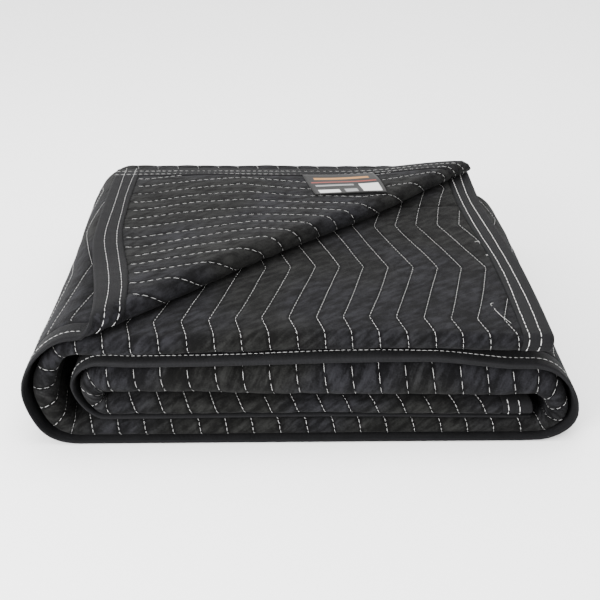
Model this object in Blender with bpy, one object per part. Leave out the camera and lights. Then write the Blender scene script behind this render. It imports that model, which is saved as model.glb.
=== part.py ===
"""A quilted moving pad, folded four deep and rolled into four laps.

The pad is cut flat as it was sewn, in flat coordinates u, v and h, and then folded.
u runs along the strip from its free end on top, v across it from its front edge,
and h is the height above the middle of the wadding, towards the pad's outer side.
"""

import math

import bmesh
import bpy
import numpy as np

# Lap levels
# name, height of panels 1, 2, 3 and 4 in metres, thickness of the pad there
LAPS = {
    "top": ((0.1155, 0.0934, 0.1068, 0.1001), 0.0054),
    "bottom": ((0.0022, 0.0168, 0.0070, 0.0119), 0.0037),
    "second": ((0.0862, 0.0440, 0.0755, 0.0580), 0.0070),
    "third": ((0.0215, 0.0362, 0.0264, 0.0313), 0.0042),
}

# Turns between laps
# centre in x, side it bulges to, bulge of panels 1, 2, 3 and 4, how low its belly hangs
OUTER_LEFT = (-0.207, -1.0, (0.0480, 0.0225, 0.0395, 0.0310), 0.18)
RIGHT = (0.222, 1.0, (0.0405, 0.0166, 0.0322, 0.0243), 0.12)
INNER_LEFT = (-0.181, -1.0, (0.0290, 0.0047, 0.0208, 0.0122), 0.0)
# where the second lap starts to slope down to the right turn, fall of panels 1, 2, 3 and 4
SLOPE = (0.120, (0.0077, 0.0, 0.0055, 0.0))
TOP_END_X = 0.232
INNER_END_X = 0.219

THIN_SHARE = 0.6

# Depth of the folded stack and how the strip is folded across it
DEPTH = 0.466
# where panel 1's front edge lies at the start of each leg of the roll and at its end
SETBACKS = (-0.005, -0.005, -0.004, -0.004, -0.002, -0.002, 0.006, 0.006)
FRONT_SETBACK = SETBACKS[0]
PANEL_TAKE_UP = 0.012
HIDDEN_SETBACK = 0.030
BACK_CREASE = 0.036
FRONT_CREASE = 0.024
INNER_CREASE = 0.014
# how far the second lap's front edge hangs down, and over what width
DROOP, DROOP_WIDTH = 0.0015, 0.028

# Corner turned back over the top
TURN_FRONT_X = -0.2045
TURN_RADIUS = ((0.0, 0.0068), (0.15, 0.0078), (0.5, 0.0090), (0.8, 0.0088), (1.0, 0.0062))
TURN_CUTS = (0.0, 0.004, 0.008, 0.012, 0.016, 0.020, 0.024, 0.0285, 0.042, 0.060, 0.080, 0.105)
TURN_SETTLE = 0.090
# how far the turned corner leans to the left, and over what width
LEAN, LEAN_WIDTH = 0.022, 0.140
TURN_BACK_GAP = 0.008
TURN_GAP = 0.0090
SWELL = 0.003
TROUGH_FROM = (-0.215, 0.205)
TROUGH_TO = (-0.060, 0.130)
TROUGH_WIDTH = 0.040
SWELL_FADE = 0.080

# Quilting
LINE_PITCH = 0.0254
LINE_START = 0.0507
ZIGZAG = 0.0143
HALF_WAVE = 0.119
FIRST_VERTEX = 0.037
PINCH = 0.0012
SWING_FADE = 0.055

# Mesh steps
# the number of mesh steps in each leg of the roll, the top lap follows its stitching
LEG_STEPS = (0, 8, 1, 7, 1, 7, 1)
# which fold across the strip, and its mesh steps
FOLD_STEPS = ((1, 5), (2, 2), (3, 5), (5, 3), (6, 2))
# the half waves of stitching that get a mesh row on panels 1 and 3
TOP_HALF_WAVES = range(1, 7)
THIRD_HALF_WAVES = range(16, 24, 2)
LABEL_STEPS = 7

# Binding and label
BINDING = 0.0270
RIM = 0.0273
SHOULDER = 0.0300
RIM_DROP = 0.0013
BINDING_OUT = 0.0002
BINDING_CLOTH = 0.0008
NOSE = 0.0016
CLEAR = 0.0003
LABEL_U = (0.0275, 0.109)
LABEL_V = (0.226, 0.303)
LABEL_CLOTH = 0.0006
LABEL_GAP = 0.0008

# Unevenness of the stack
# height in metres, waves per metre of x and y in radians, phase
SAG = (0.0026, 11.0, 9.0, 1.1)
# height in metres, waves per metre of x or y and of z in radians, phase
SWAY_Y = (0.0022, 15.0, 70.0, 0.0)
SWAY_X = (0.0022, 12.0, 55.0, 1.0)
STEADY_HEIGHT = 0.03
SAG_HEIGHT = 0.115
# how far the bottom reaches forward, and how far back that is felt
REACH, REACH_DEPTH = 0.003, 0.20
# how far the left end of the middle laps is lifted, its run in x, middle height and spread
LIFT = (0.005, 0.20, 0.040, 0.020)
# how far the top lap's right end is pulled in at the back, then where in x, y and z that starts
PULL, PULL_FROM, PULL_RUN = 0.010, (0.08, 0.15, 0.076), (0.12, 0.22, 0.008)

# Finishes
PAD_COLOUR, PAD_ROUGHNESS = (0.022, 0.022, 0.025), 0.95
BINDING_COLOUR, BINDING_ROUGHNESS = (0.030, 0.026, 0.026), 0.80
LABEL_COLOUR, LABEL_ROUGHNESS = (0.110, 0.105, 0.098), 0.60

STEP = 1e-5


def smooth(t):
    t = np.clip(t, 0.0, 1.0)
    return t * t * (3 - 2 * t)


def level(lap, panel, x):
    """The height of one panel of a lap at x."""
    start, falls = SLOPE
    fall = falls[panel] if lap == "second" else 0.0
    return LAPS[lap][0][panel] - fall * smooth((x - start) / (RIGHT[0] - start))


def half_ellipse(a, b):
    """The length of half an ellipse with half axes a and b."""
    ratio = ((a - b) / (a + b)) ** 2
    return math.pi * (a + b) / 2 * (1 + 3 * ratio / (10 + math.sqrt(4 - 3 * ratio)))


def turn_length(turn, above, below):
    high, low = level(above, 0, turn[0]), level(below, 0, turn[0])
    return half_ellipse((high - low) / 2, turn[2][0])


# The roll as a walk along u
# kind, length, then its shape
WALK = (
    ("lap", TOP_END_X - OUTER_LEFT[0], "top", TOP_END_X, -1.0),
    ("turn", turn_length(OUTER_LEFT, "top", "bottom"), "top", OUTER_LEFT, "bottom"),
    ("lap", RIGHT[0] - OUTER_LEFT[0], "bottom", OUTER_LEFT[0], 1.0),
    ("turn", turn_length(RIGHT, "second", "bottom"), "bottom", RIGHT, "second"),
    ("lap", RIGHT[0] - INNER_LEFT[0], "second", RIGHT[0], -1.0),
    ("turn", turn_length(INNER_LEFT, "second", "third"), "second", INNER_LEFT, "third"),
    ("lap", INNER_END_X - INNER_LEFT[0], "third", INNER_LEFT[0], 1.0),
)
STARTS = np.concatenate([[0.0], np.cumsum([leg[1] for leg in WALK])])
LENGTH = float(STARTS[-1])


def thickness(u):
    """The pad's thickness along the strip."""
    at, values = [], []
    for k, leg in enumerate(WALK):
        if leg[0] == "lap":
            at += [STARTS[k], STARTS[k + 1]]
            values += [LAPS[leg[2]][1]] * 2
        else:
            before, after = LAPS[leg[2]][1], LAPS[leg[4]][1]
            if k == 3:
                before, after = after, before
            share = 1 - THIN_SHARE if before > after else THIN_SHARE
            at.append(STARTS[k] + share * leg[1])
            values.append(min(before, after))
    return np.interp(u, at, values)


def roll(u, panel):
    """Where panel lies at u, in x and z."""
    x, z = np.zeros_like(u), np.zeros_like(u)
    which = np.clip(np.searchsorted(STARTS, u, side="right") - 1, 0, len(WALK) - 1)
    for k, leg in enumerate(WALK):
        here = which == k
        along = u[here] - STARTS[k]
        if leg[0] == "lap":
            x[here] = leg[3] + leg[4] * along
            z[here] = level(leg[2], panel, x[here])
        else:
            angle = math.pi * along / leg[1]
            centre, side, bulges, belly = leg[3]
            a, b = level(leg[2], panel, centre), level(leg[4], panel, centre)
            x[here] = centre + side * bulges[panel] * np.sin(angle)
            low = belly * abs(a - b) / 2 * np.sin(angle) ** 2
            z[here] = (a + b) / 2 + (a - b) / 2 * np.cos(angle) - low
    return np.stack([x, z], axis=-1)


def crease_radius(u, a, b):
    """Half the distance between two panels at u."""
    return np.linalg.norm(roll(u, a) - roll(u, b), axis=-1) / 2


TOP_BACK = DEPTH - float(crease_radius(np.zeros(1), 0, 1)[0]) - LAPS["top"][1] / 2
PANEL_1 = TOP_BACK - FRONT_SETBACK
PANEL_2 = PANEL_1 - PANEL_TAKE_UP
PANEL_3 = PANEL_2
PANEL_4 = PANEL_3 - HIDDEN_SETBACK

# The folds across the strip as a walk along v
# kind, length, panel or pair of panels
FOLDS = (
    ("panel", PANEL_1, 0),
    ("back", BACK_CREASE, (0, 1)),
    ("panel", PANEL_2, 1),
    ("front", FRONT_CREASE, (1, 2)),
    ("panel", PANEL_3, 2),
    ("back", INNER_CREASE, (2, 3)),
    ("panel", PANEL_4, 3),
)
FOLD_STARTS = np.concatenate([[0.0], np.cumsum([fold[1] for fold in FOLDS])])
WIDTH = float(FOLD_STARTS[-1])

# The line along which the corner is turned back
TURN_A = np.array([TOP_END_X, TOP_BACK - TURN_BACK_GAP])
TURN_B = np.array([TURN_FRONT_X, FRONT_SETBACK])
TURN_SPAN = float(np.linalg.norm(TURN_B - TURN_A))
TURN_ALONG = (TURN_B - TURN_A) / TURN_SPAN
TURN_ACROSS = np.array([-TURN_ALONG[1], TURN_ALONG[0]])


def turned_back(p):
    """Panel 1 of the top lap, with its front corner turned back over itself."""
    flat = p[:, :2] - TURN_A
    s = flat @ TURN_ACROSS
    radius = np.interp(flat @ TURN_ALONG / TURN_SPAN, *zip(*TURN_RADIUS))
    past = s - math.pi * radius
    bend = np.clip(s / radius, 0.0, math.pi)
    reach = np.where(past > 0, -past, radius * np.sin(bend))
    settle = smooth(past / TURN_SETTLE)
    lift = np.where(past > 0, 2 * radius + (TURN_GAP - 2 * radius) * settle, radius * (1 - np.cos(bend)))
    out = p.copy()
    out[:, :2] = p[:, :2] + np.outer(reach - s, TURN_ACROSS)
    out[:, 0] -= LEAN * smooth(past / LEAN_WIDTH)
    out[:, 2] += lift + SWELL * settle * swelling(out)
    turned = s > 0
    return np.where(turned[:, None], out, p)


def swelling(p):
    """How far the turned corner stands up, from 0 in its trough to 1."""
    a, b = np.array(TROUGH_FROM), np.array(TROUGH_TO)
    along = (b - a) / np.linalg.norm(b - a)
    off = (p[:, :2] - a) @ np.array([-along[1], along[0]])
    back = smooth((TOP_BACK - BINDING - p[:, 1]) / SWELL_FADE)
    edge = back * smooth((p[:, 0] - TURN_FRONT_X - BINDING) / SWELL_FADE)
    return (1 - np.exp(-((off / TROUGH_WIDTH) ** 2))) * edge


def middle(u, v):
    """The middle of the folded pad at u, v, as an array of points."""
    u, v = np.asarray(u, float), np.asarray(v, float)
    out = np.zeros((len(u), 3))
    which = np.clip(np.searchsorted(FOLD_STARTS, v, side="right") - 1, 0, len(FOLDS) - 1)
    half = thickness(u) / 2
    back_y = DEPTH - crease_radius(u, 0, 1) - half
    front_y = crease_radius(u, 1, 2) + half
    ends = (
        (np.interp(u, STARTS, SETBACKS), back_y),
        (back_y, front_y),
        (front_y, back_y),
        (back_y, front_y + HIDDEN_SETBACK),
    )
    for k, (kind, length, panels) in enumerate(FOLDS):
        here = which == k
        share = (v[here] - FOLD_STARTS[k]) / length
        if kind == "panel":
            first, last = ends[panels]
            xz = roll(u[here], panels)
            y = first[here] + (last[here] - first[here]) * share
        else:
            a, b = roll(u[here], panels[0]), roll(u[here], panels[1])
            angle = math.pi * share[:, None]
            xz = (a + b) / 2 + (a - b) / 2 * np.cos(angle)
            bulge = np.linalg.norm(a - b, axis=-1) / 2 * np.sin(angle[:, 0])
            y = back_y[here] + bulge if kind == "back" else front_y[here] - bulge
        out[here] = np.stack([xz[:, 0], y, xz[:, 1]], axis=-1)
    corner = (which == 0) & (u < STARTS[1])
    out[corner] = turned_back(out[corner])
    on_second = smooth((u - STARTS[4]) / DROOP_WIDTH) * smooth((STARTS[5] - u) / DROOP_WIDTH)
    out[:, 2] -= DROOP * on_second * (1 - smooth(v / DROOP_WIDTH))
    return out


def uneven(p):
    """The stack as it really lies, a little out of true, with its foot left flat."""
    x, y, z = p.T
    sag, sag_x, sag_y, phase = SAG
    dz = sag * z / SAG_HEIGHT * np.sin(sag_x * x + phase) * np.cos(sag_y * y)
    rise = smooth(z / STEADY_HEIGHT)
    dy = SWAY_Y[0] * rise * np.sin(SWAY_Y[1] * x + SWAY_Y[2] * z + SWAY_Y[3])
    dx = SWAY_X[0] * rise * np.sin(SWAY_X[1] * y + SWAY_X[2] * z + SWAY_X[3])
    dy -= REACH * (1 - rise) * (1 - smooth(y / REACH_DEPTH))
    lift, run, height, spread = LIFT
    dz += lift * rise * smooth(-x / run) * np.exp(-(((z - height) / spread) ** 2))
    pulled = [smooth((c - start) / run) for c, start, run in zip((x, y, z), PULL_FROM, PULL_RUN)]
    dx -= PULL * pulled[0] * pulled[1] * pulled[2]
    return p + np.stack([dx, dy, dz], axis=-1)


def fold(flat):
    """Flat points u, v, h as they lie in the folded pad."""
    u, v, h = np.asarray(flat, float).T
    du = middle(u + STEP, v) - middle(u - STEP, v)
    dv = middle(u, v + STEP) - middle(u, v - STEP)
    normal = np.cross(dv, du)
    normal /= np.linalg.norm(normal, axis=-1, keepdims=True)
    return uneven(middle(u, v) + normal * h[:, None])


def zigzag(v):
    """The quilting's sideways swing at v, from -1 to 1."""
    phase = (v - FIRST_VERTEX) / HALF_WAVE
    return 1 - 2 * np.abs((phase + 1) % 2 - 1)


def swing(u):
    """How much of the zigzag a mesh column follows, none at an edge or a plain lap."""
    return smooth((u - RIM) / SWING_FADE) * smooth((STARTS[1] - u) / SWING_FADE)


def column(u, v):
    return u + ZIGZAG * swing(u) * zigzag(v)


def edge_distance(u, v):
    return np.minimum(np.minimum(u, LENGTH - u), np.minimum(v, WIDTH - v))


def half_thickness(u, v, pinched):
    """Half the pad's thickness, drawn in along the stitching and under the binding."""
    full = thickness(u) / 2 - PINCH * pinched * smooth((STARTS[1] - u) / SWING_FADE)
    rim = thickness(u) / 2 - RIM_DROP
    return np.where(edge_distance(u, v) < SHOULDER - CLEAR, np.minimum(full, rim), full)


def columns():
    """The mesh columns along u, and which of them lie on a line of stitching."""
    at = {0.0: 0, RIM: 0, SHOULDER: 0}
    line = LINE_START
    while line < STARTS[1] - LINE_PITCH / 2:
        at[line] = 1
        at[line + LINE_PITCH / 2] = 0
        line += LINE_PITCH
    for k, count in enumerate(LEG_STEPS[1:], start=1):
        for step in range(count + 1):
            at[STARTS[k] + (STARTS[k + 1] - STARTS[k]) * step / count] = 0
    at.pop(max(at))
    for d in (SHOULDER, RIM, 0.0):
        at[LENGTH - d] = 0
    order = sorted(at)
    return np.array(order), np.array([at[u] for u in order])


def rows():
    """The mesh rows along v: the edges, the creases and the zigzag's vertices."""
    at = [0.0, RIM, SHOULDER]
    at += [FIRST_VERTEX + HALF_WAVE * k / 2 for k in TOP_HALF_WAVES]
    for k, count in FOLD_STEPS:
        start, length = FOLD_STARTS[k], FOLDS[k][1]
        at += [start + length * step / count for step in range(count + 1)]
    at += [FIRST_VERTEX + HALF_WAVE * k / 2 for k in THIRD_HALF_WAVES]
    at = [v for v in at if v < WIDTH - SHOULDER]
    at += [WIDTH - SHOULDER, WIDTH - RIM, WIDTH]
    return np.array(sorted(set(round(v, 6) for v in at)))


def cut_turn(bm):
    """Cut the flat mesh along the turned corner's bends."""
    across = (-TURN_ACROSS[0], TURN_ACROSS[1], 0.0)
    for s in TURN_CUTS:
        x, y = TURN_A + s * TURN_ACROSS
        faces = [
            f
            for f in bm.faces
            if all(c.co.x < STARTS[1] + STEP and c.co.y < PANEL_1 + STEP for c in f.verts)
        ]
        geom = set(faces)
        for f in faces:
            geom.update(f.edges)
            geom.update(f.verts)
        bmesh.ops.bisect_plane(
            bm,
            geom=list(geom),
            dist=STEP,
            plane_co=(TOP_END_X - x, y - FRONT_SETBACK, 0.0),
            plane_no=across,
        )


def finish(name, bm, colour, roughness):
    """Fold a flat mesh and make it a named object with its own material."""
    cut_turn(bm)
    bmesh.ops.triangulate(bm, faces=bm.faces[:])
    bmesh.ops.recalc_face_normals(bm, faces=bm.faces[:])
    bmesh.ops.reverse_faces(bm, faces=bm.faces[:])
    folded = fold([v.co[:] for v in bm.verts])
    for v, p in zip(bm.verts, folded):
        v.co = p
    mesh = bpy.data.meshes.new(name)
    bm.to_mesh(mesh)
    bm.free()
    obj = bpy.data.objects.new(name, mesh)
    bpy.context.scene.collection.objects.link(obj)
    material = bpy.data.materials.new(name)
    material.use_nodes = True
    shader = material.node_tree.nodes["Principled BSDF"]
    shader.inputs["Base Color"].default_value = (*colour, 1.0)
    shader.inputs["Roughness"].default_value = roughness
    mesh.materials.append(material)
    return obj


def slab(us, vs, point):
    """A flat mesh with an outer and an inner layer, closed round its edges."""
    bm = bmesh.new()
    layers = []
    for side in (1, -1):
        layers.append([[bm.verts.new(point(i, j, side)) for j in range(len(vs))] for i in range(len(us))])
    outer, inner = layers
    for i in range(len(us) - 1):
        for j in range(len(vs) - 1):
            bm.faces.new((outer[i][j], outer[i + 1][j], outer[i + 1][j + 1]))
            bm.faces.new((outer[i][j], outer[i + 1][j + 1], outer[i][j + 1]))
            bm.faces.new((inner[i][j], inner[i + 1][j + 1], inner[i + 1][j]))
            bm.faces.new((inner[i][j], inner[i][j + 1], inner[i + 1][j + 1]))
    for i in range(len(us) - 1):
        bm.faces.new((outer[i + 1][0], outer[i][0], inner[i + 1][0]))
        bm.faces.new((outer[i][0], inner[i][0], inner[i + 1][0]))
        bm.faces.new((outer[i][-1], outer[i + 1][-1], inner[i][-1]))
        bm.faces.new((outer[i + 1][-1], inner[i + 1][-1], inner[i][-1]))
    for j in range(len(vs) - 1):
        bm.faces.new((outer[0][j], outer[0][j + 1], inner[0][j + 1]))
        bm.faces.new((outer[0][j], inner[0][j + 1], inner[0][j]))
        bm.faces.new((outer[-1][j + 1], outer[-1][j], inner[-1][j]))
        bm.faces.new((outer[-1][j + 1], inner[-1][j], inner[-1][j + 1]))
    return bm


def make_pad():
    us, on_line = columns()
    vs = rows()

    def point(i, j, side):
        u = column(us[i], vs[j])
        return (u, vs[j], side * float(half_thickness(u, vs[j], on_line[i])))

    return finish("quilted_pad", slab(us, vs, point), PAD_COLOUR, PAD_ROUGHNESS)


def make_binding(name, stations, place, rising):
    """A strip of cloth folded over an edge, lofted along the stations.

    Its faces are split the same way as the pad's beside them, so the two stay apart.
    """
    section = (
        (BINDING, BINDING_OUT, 1),
        (0.0, BINDING_OUT, 1),
        (-NOSE, BINDING_OUT + BINDING_CLOTH, 1),
        (-NOSE, BINDING_OUT + BINDING_CLOTH, -1),
        (0.0, BINDING_OUT, -1),
        (BINDING, BINDING_OUT, -1),
        (BINDING, BINDING_OUT + BINDING_CLOTH, -1),
        (-CLEAR, BINDING_OUT + BINDING_CLOTH, -1),
        (-CLEAR, BINDING_OUT + BINDING_CLOTH, 1),
        (BINDING, BINDING_OUT + BINDING_CLOTH, 1),
    )
    bm = bmesh.new()
    rings = []
    for station in stations:
        ring = []
        for d, drop, side in section:
            u, v = place(station, d)
            ring.append(bm.verts.new((u, v, side * (float(thickness(u)) / 2 - drop))))
        rings.append(ring)
    count = len(section)
    for a, b in zip(rings, rings[1:]):
        for k in range(count):
            m = (k + 1) % count
            if (section[k][0] < section[m][0]) == rising:
                bm.faces.new((a[k], a[m], b[m]))
                bm.faces.new((a[k], b[m], b[k]))
            else:
                bm.faces.new((a[k], a[m], b[k]))
                bm.faces.new((a[m], b[m], b[k]))
    bm.faces.new(rings[0])
    bm.faces.new(rings[-1])
    return finish(name, bm, BINDING_COLOUR, BINDING_ROUGHNESS)


def make_label():
    us = np.linspace(*LABEL_U, LABEL_STEPS)
    vs = np.linspace(*LABEL_V, LABEL_STEPS)

    def point(i, j, side):
        outside = 0 if side == 1 else LABEL_CLOTH
        return (us[i], vs[j], -(float(thickness(us[i])) / 2 + LABEL_GAP + outside))

    return finish("label", slab(us, vs, point), LABEL_COLOUR, LABEL_ROUGHNESS)


def build():
    for old in list(bpy.data.objects):
        bpy.data.objects.remove(old, do_unlink=True)
    us, _ = columns()
    vs = rows()
    inside = [BINDING + CLEAR] + [v for v in vs if SHOULDER < v < WIDTH - SHOULDER]
    inside.append(WIDTH - BINDING - CLEAR)
    parts = [
        make_pad(),
        make_binding("front_edge_binding", us, lambda s, d: (column(s, d), d), True),
        make_binding("inner_edge_binding", us, lambda s, d: (column(s, WIDTH - d), WIDTH - d), False),
        make_binding("top_end_binding", inside, lambda s, d: (d, s), True),
        make_binding("inner_end_binding", inside, lambda s, d: (LENGTH - d, s), False),
        make_label(),
    ]
    every = np.array([v.co[:] for part in parts for v in part.data.vertices])
    low, high = every.min(axis=0), every.max(axis=0)
    shift = np.array([-(low[0] + high[0]) / 2, -(low[1] + high[1]) / 2, -low[2]])
    for part in parts:
        for v in part.data.vertices:
            v.co = np.array(v.co[:]) + shift


build()
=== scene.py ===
import math

import bmesh
import bpy
import numpy as np
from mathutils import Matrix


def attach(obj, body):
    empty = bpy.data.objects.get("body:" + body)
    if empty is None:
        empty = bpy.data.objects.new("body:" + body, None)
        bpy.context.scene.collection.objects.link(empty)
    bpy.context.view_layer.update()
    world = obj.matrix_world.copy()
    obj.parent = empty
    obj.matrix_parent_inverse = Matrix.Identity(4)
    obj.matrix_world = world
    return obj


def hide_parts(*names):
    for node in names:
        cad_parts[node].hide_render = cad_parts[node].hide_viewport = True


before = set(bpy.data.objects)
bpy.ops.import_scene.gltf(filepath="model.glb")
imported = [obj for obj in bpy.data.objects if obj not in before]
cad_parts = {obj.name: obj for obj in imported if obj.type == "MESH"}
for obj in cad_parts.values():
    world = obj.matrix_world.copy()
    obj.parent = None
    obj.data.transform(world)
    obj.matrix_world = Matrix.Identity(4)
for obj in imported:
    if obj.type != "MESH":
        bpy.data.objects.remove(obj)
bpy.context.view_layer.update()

# Lap levels, as in the part's source
# name, height of panels 1, 2, 3 and 4 in metres, thickness of the pad there
LAPS = {
    "top": ((0.1155, 0.0934, 0.1068, 0.1001), 0.0054),
    "bottom": ((0.0022, 0.0168, 0.0070, 0.0119), 0.0037),
    "second": ((0.0862, 0.0440, 0.0755, 0.0580), 0.0070),
    "third": ((0.0215, 0.0362, 0.0264, 0.0313), 0.0042),
}
# centre in x, side it bulges to, bulge of panels 1, 2, 3 and 4, how low its belly hangs
OUTER_LEFT = (-0.207, -1.0, (0.0480, 0.0225, 0.0395, 0.0310), 0.18)
RIGHT = (0.222, 1.0, (0.0405, 0.0166, 0.0322, 0.0243), 0.12)
INNER_LEFT = (-0.181, -1.0, (0.0290, 0.0047, 0.0208, 0.0122), 0.0)
# where the second lap starts to slope down to the right turn, fall of panels 1, 2, 3 and 4
SLOPE = (0.120, (0.0077, 0.0, 0.0055, 0.0))
TOP_END_X, INNER_END_X, THIN_SHARE = 0.232, 0.219, 0.6

# The folds across the strip
SETBACKS = (-0.005, -0.005, -0.004, -0.004, -0.002, -0.002, 0.006, 0.006)
DEPTH, FRONT_SETBACK, PANEL_TAKE_UP, HIDDEN_SETBACK = 0.466, SETBACKS[0], 0.012, 0.030
BACK_CREASE, FRONT_CREASE, INNER_CREASE = 0.036, 0.024, 0.014
DROOP, DROOP_WIDTH = 0.0015, 0.028

# The corner turned back over the top
TURN_FRONT_X, TURN_BACK_GAP, TURN_SETTLE, TURN_GAP = -0.2045, 0.008, 0.090, 0.0090
LEAN, LEAN_WIDTH = 0.022, 0.140
TURN_RADIUS = ((0.0, 0.0068), (0.15, 0.0078), (0.5, 0.0090), (0.8, 0.0088), (1.0, 0.0062))
SWELL, SWELL_FADE, TROUGH_WIDTH = 0.003, 0.080, 0.040
TROUGH_FROM, TROUGH_TO = (-0.215, 0.205), (-0.060, 0.130)

# Quilting, binding and label
LINE_PITCH, LINE_START, ZIGZAG, HALF_WAVE, FIRST_VERTEX = 0.0254, 0.0507, 0.0143, 0.119, 0.037
FIRST_LINE = LINE_START - 2 * LINE_PITCH
PINCH, SWING_FADE, PUFF_REACH, PUFF_POWER = 0.0006, 0.055, 0.42, 0.6
BINDING, RIM, SHOULDER, RIM_DROP = 0.0270, 0.0273, 0.0300, 0.0013
BINDING_OUT, BINDING_CLOTH, NOSE, CLEAR = 0.0002, 0.0008, 0.0016, 0.0003
LABEL_U, LABEL_V, LABEL_CLOTH, LABEL_GAP = (0.0275, 0.109), (0.226, 0.303), 0.0006, 0.0008
# share of the label cloth's thickness that is drawn; how far its edge curls up, from where, over what run
LABEL_SHARE, LABEL_CURL, CURL_START, CURL_RUN = 0.6, 0.0012, 0.075, 0.034

# How uneven the whole stack is
# size in metres, radians a metre along two directions, phase
SAG, SWAY_Y, SWAY_X = (0.0026, 11.0, 9.0, 1.1), (0.0022, 15.0, 70.0, 0.0), (0.0022, 12.0, 55.0, 1.0)
SAG_HEIGHT, STEADY_HEIGHT = 0.115, 0.03
# reach of the lowest layers to the front; lift of the middle ones at the left, its run, height and spread
REACH, REACH_DEPTH, LIFT = 0.003, 0.20, (0.005, 0.20, 0.040, 0.020)
# how far the right end is pulled in at the back, and where that starts and how it grows in x, y and z
PULL, PULL_FROM, PULL_RUN = 0.010, (0.08, 0.15, 0.076), (0.12, 0.22, 0.008)

# Small waves of the cloth
# height in metres, radians a metre along u and v, phase
CRUMPLES = (
    (0.00022, 61.0, 23.0, 0.4),
    (0.00018, -37.0, 74.0, 2.1),
    (0.00014, 118.0, 49.0, 4.0),
    (0.00012, 83.0, -131.0, 1.3),
)
FLOOR_FADE = 0.10

# The tuck across the top layer by its right end
# where along v, width, depth, from where to where along u, and over what length it starts and ends there
TUCK, TUCK_WIDTH, TUCK_DEPTH = 1.288, 0.0032, 0.0022
TUCK_RUN, TUCK_FADES = (0.020, 0.135), (0.015, 0.05)

# The mesh
# columns to a pitch on each leg of the walk, rows to each fold, rows beside the tuck in tuck widths
COLUMNS_PER_PITCH = (4, 4, 1, 4, 3, 4, 3)
ROWS_PER_FOLD = (50, 12, 10, 12, 38, 6, 8)
TUCK_ROWS = (-2.0, -1.2, -0.6, 0.0, 0.6, 1.2, 2.0)
# cuts along the turned corner's bends, the radius they reach round, how near a cut takes a vertex in
TURN_CUTS, CUT_RADIUS, CUT_REACH = 16, 0.0092, 3e-4
# points across the label, distance at which vertices merge, step over which the fold's slope is taken
LABEL_STEPS, WELD, STEP = 24, 1e-6, 1e-5

# The tape's face and lining: distance from the pad's edge, depth under its full thickness
LINING = BINDING_OUT + BINDING_CLOTH
TAPE_FACE = (
    (BINDING, BINDING_OUT + 0.0003),
    (BINDING * 0.93, BINDING_OUT),
    (BINDING * 0.6, BINDING_OUT - 0.0001),
    (BINDING * 0.3, BINDING_OUT + 0.0001),
    (0.001, BINDING_OUT),
    (-NOSE * 0.7, LINING),
    (-NOSE, LINING + 0.0008),
)
TAPE_LINING = ((BINDING, LINING), (-CLEAR, LINING))
TAPE_PUCKER, PUCKER_PITCH = 0.00012, 0.0098

# Stitching
# thread radius, dash and gap
OUTER_SEAM = (0.00017, 0.0046, 0.0010)
UNDER_SEAM = (0.00012, 0.0064, 0.0014)
TURNED_TAPE_SEAM = (0.00023, 0.0056, 0.0010)
TAPE_SEAM = (0.00018, 0.0046, 0.0008)
BACK_SEAM = (0.00012, 0.0056, 0.0014)
LOOSE_THREAD = (0.00013,)
HEAVY_SEAM = (0.00036, 0.0072, 0.0003)
TAPE_ROWS = (0.0105, 0.0215)
# smallest and largest stitch in dashes, spread of its turn in radians
QUILT_SIZES, QUILT_TURN = (0.86, 1.08), 0.05
TAPE_SIZES, TAPE_TURN = (0.88, 1.06), 0.02
# how far the zigzag's points are rounded; how far rows wander, with radians a metre along and across
# them; spread of single stitches on the tape
ROUNDING, WANDER, TAPE_WANDER, TAPE_JITTER = 0.0026, (0.0005, 38, 57), (0.0006, 31, 400), 0.0001
# in thread radii, how far a stitch bows up and how far it sinks in; in pinches, its rise by the ends
STITCH_BOW, STITCH_SINK, END_RISE = 0.9, 0.25, 0.7
QUILT_EDGE = SHOULDER * 0.95
# how far past a fold stitches are still sewn
NEAR, MID, FAR, FRONT_FAR = 0.010, 0.020, 0.030, 0.040
# how far up a turn they stop above the floor, and the share of the back crease that lies on it
OFF_FLOOR, FOOT_SHARE = 0.012, 0.4
# how far they stay off panel 3's back fold, the corner's roll, its roll on the front tape, its back end
THIRD_CLEAR, ROLL_CLEAR, ROLL_TAPE_CLEAR, END_CLEAR = 0.002, 0.004, 0.003, 0.006

# Loose ends of thread on the top layer
# start in u and v, heading in degrees, length, turn in degrees over the length
LOOSE_ENDS = (
    (0.034, 1.175, 160.0, 0.009, 150.0),
    (0.027, 1.139, 20.0, 0.006, -170.0),
    (0.047, 1.016, 60.0, 0.007, 110.0),
    (0.046, 1.012, -95.0, 0.034, -30.0),
)
# step along a thread, length of a piece in steps, spread of its heading in degrees, lift and arch
LOOSE_STEP, LOOSE_OVERLAP, LOOSE_WOBBLE, LOOSE_LIFT, LOOSE_ARCH = 0.0011, 1.9, 6.0, 0.0004, 0.0008

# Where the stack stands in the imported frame
SHIFT = np.array([-0.003410, -0.229170, -0.000343])

# The unevenness of the stitches, the same each run
rng = np.random.default_rng(7)


def smooth(t):
    t = np.clip(t, 0.0, 1.0)
    return t * t * (3 - 2 * t)


def level(lap, panel, x):
    """The height of one panel of a lap at x."""
    start, falls = SLOPE
    fall = falls[panel] if lap == "second" else 0.0
    return LAPS[lap][0][panel] - fall * smooth((x - start) / (RIGHT[0] - start))


def half_ellipse(a, b):
    """The length of half an ellipse with half axes a and b."""
    ratio = ((a - b) / (a + b)) ** 2
    return math.pi * (a + b) / 2 * (1 + 3 * ratio / (10 + math.sqrt(4 - 3 * ratio)))


def turn_length(turn, above, below):
    return half_ellipse((level(above, 0, turn[0]) - level(below, 0, turn[0])) / 2, turn[2][0])


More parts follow.
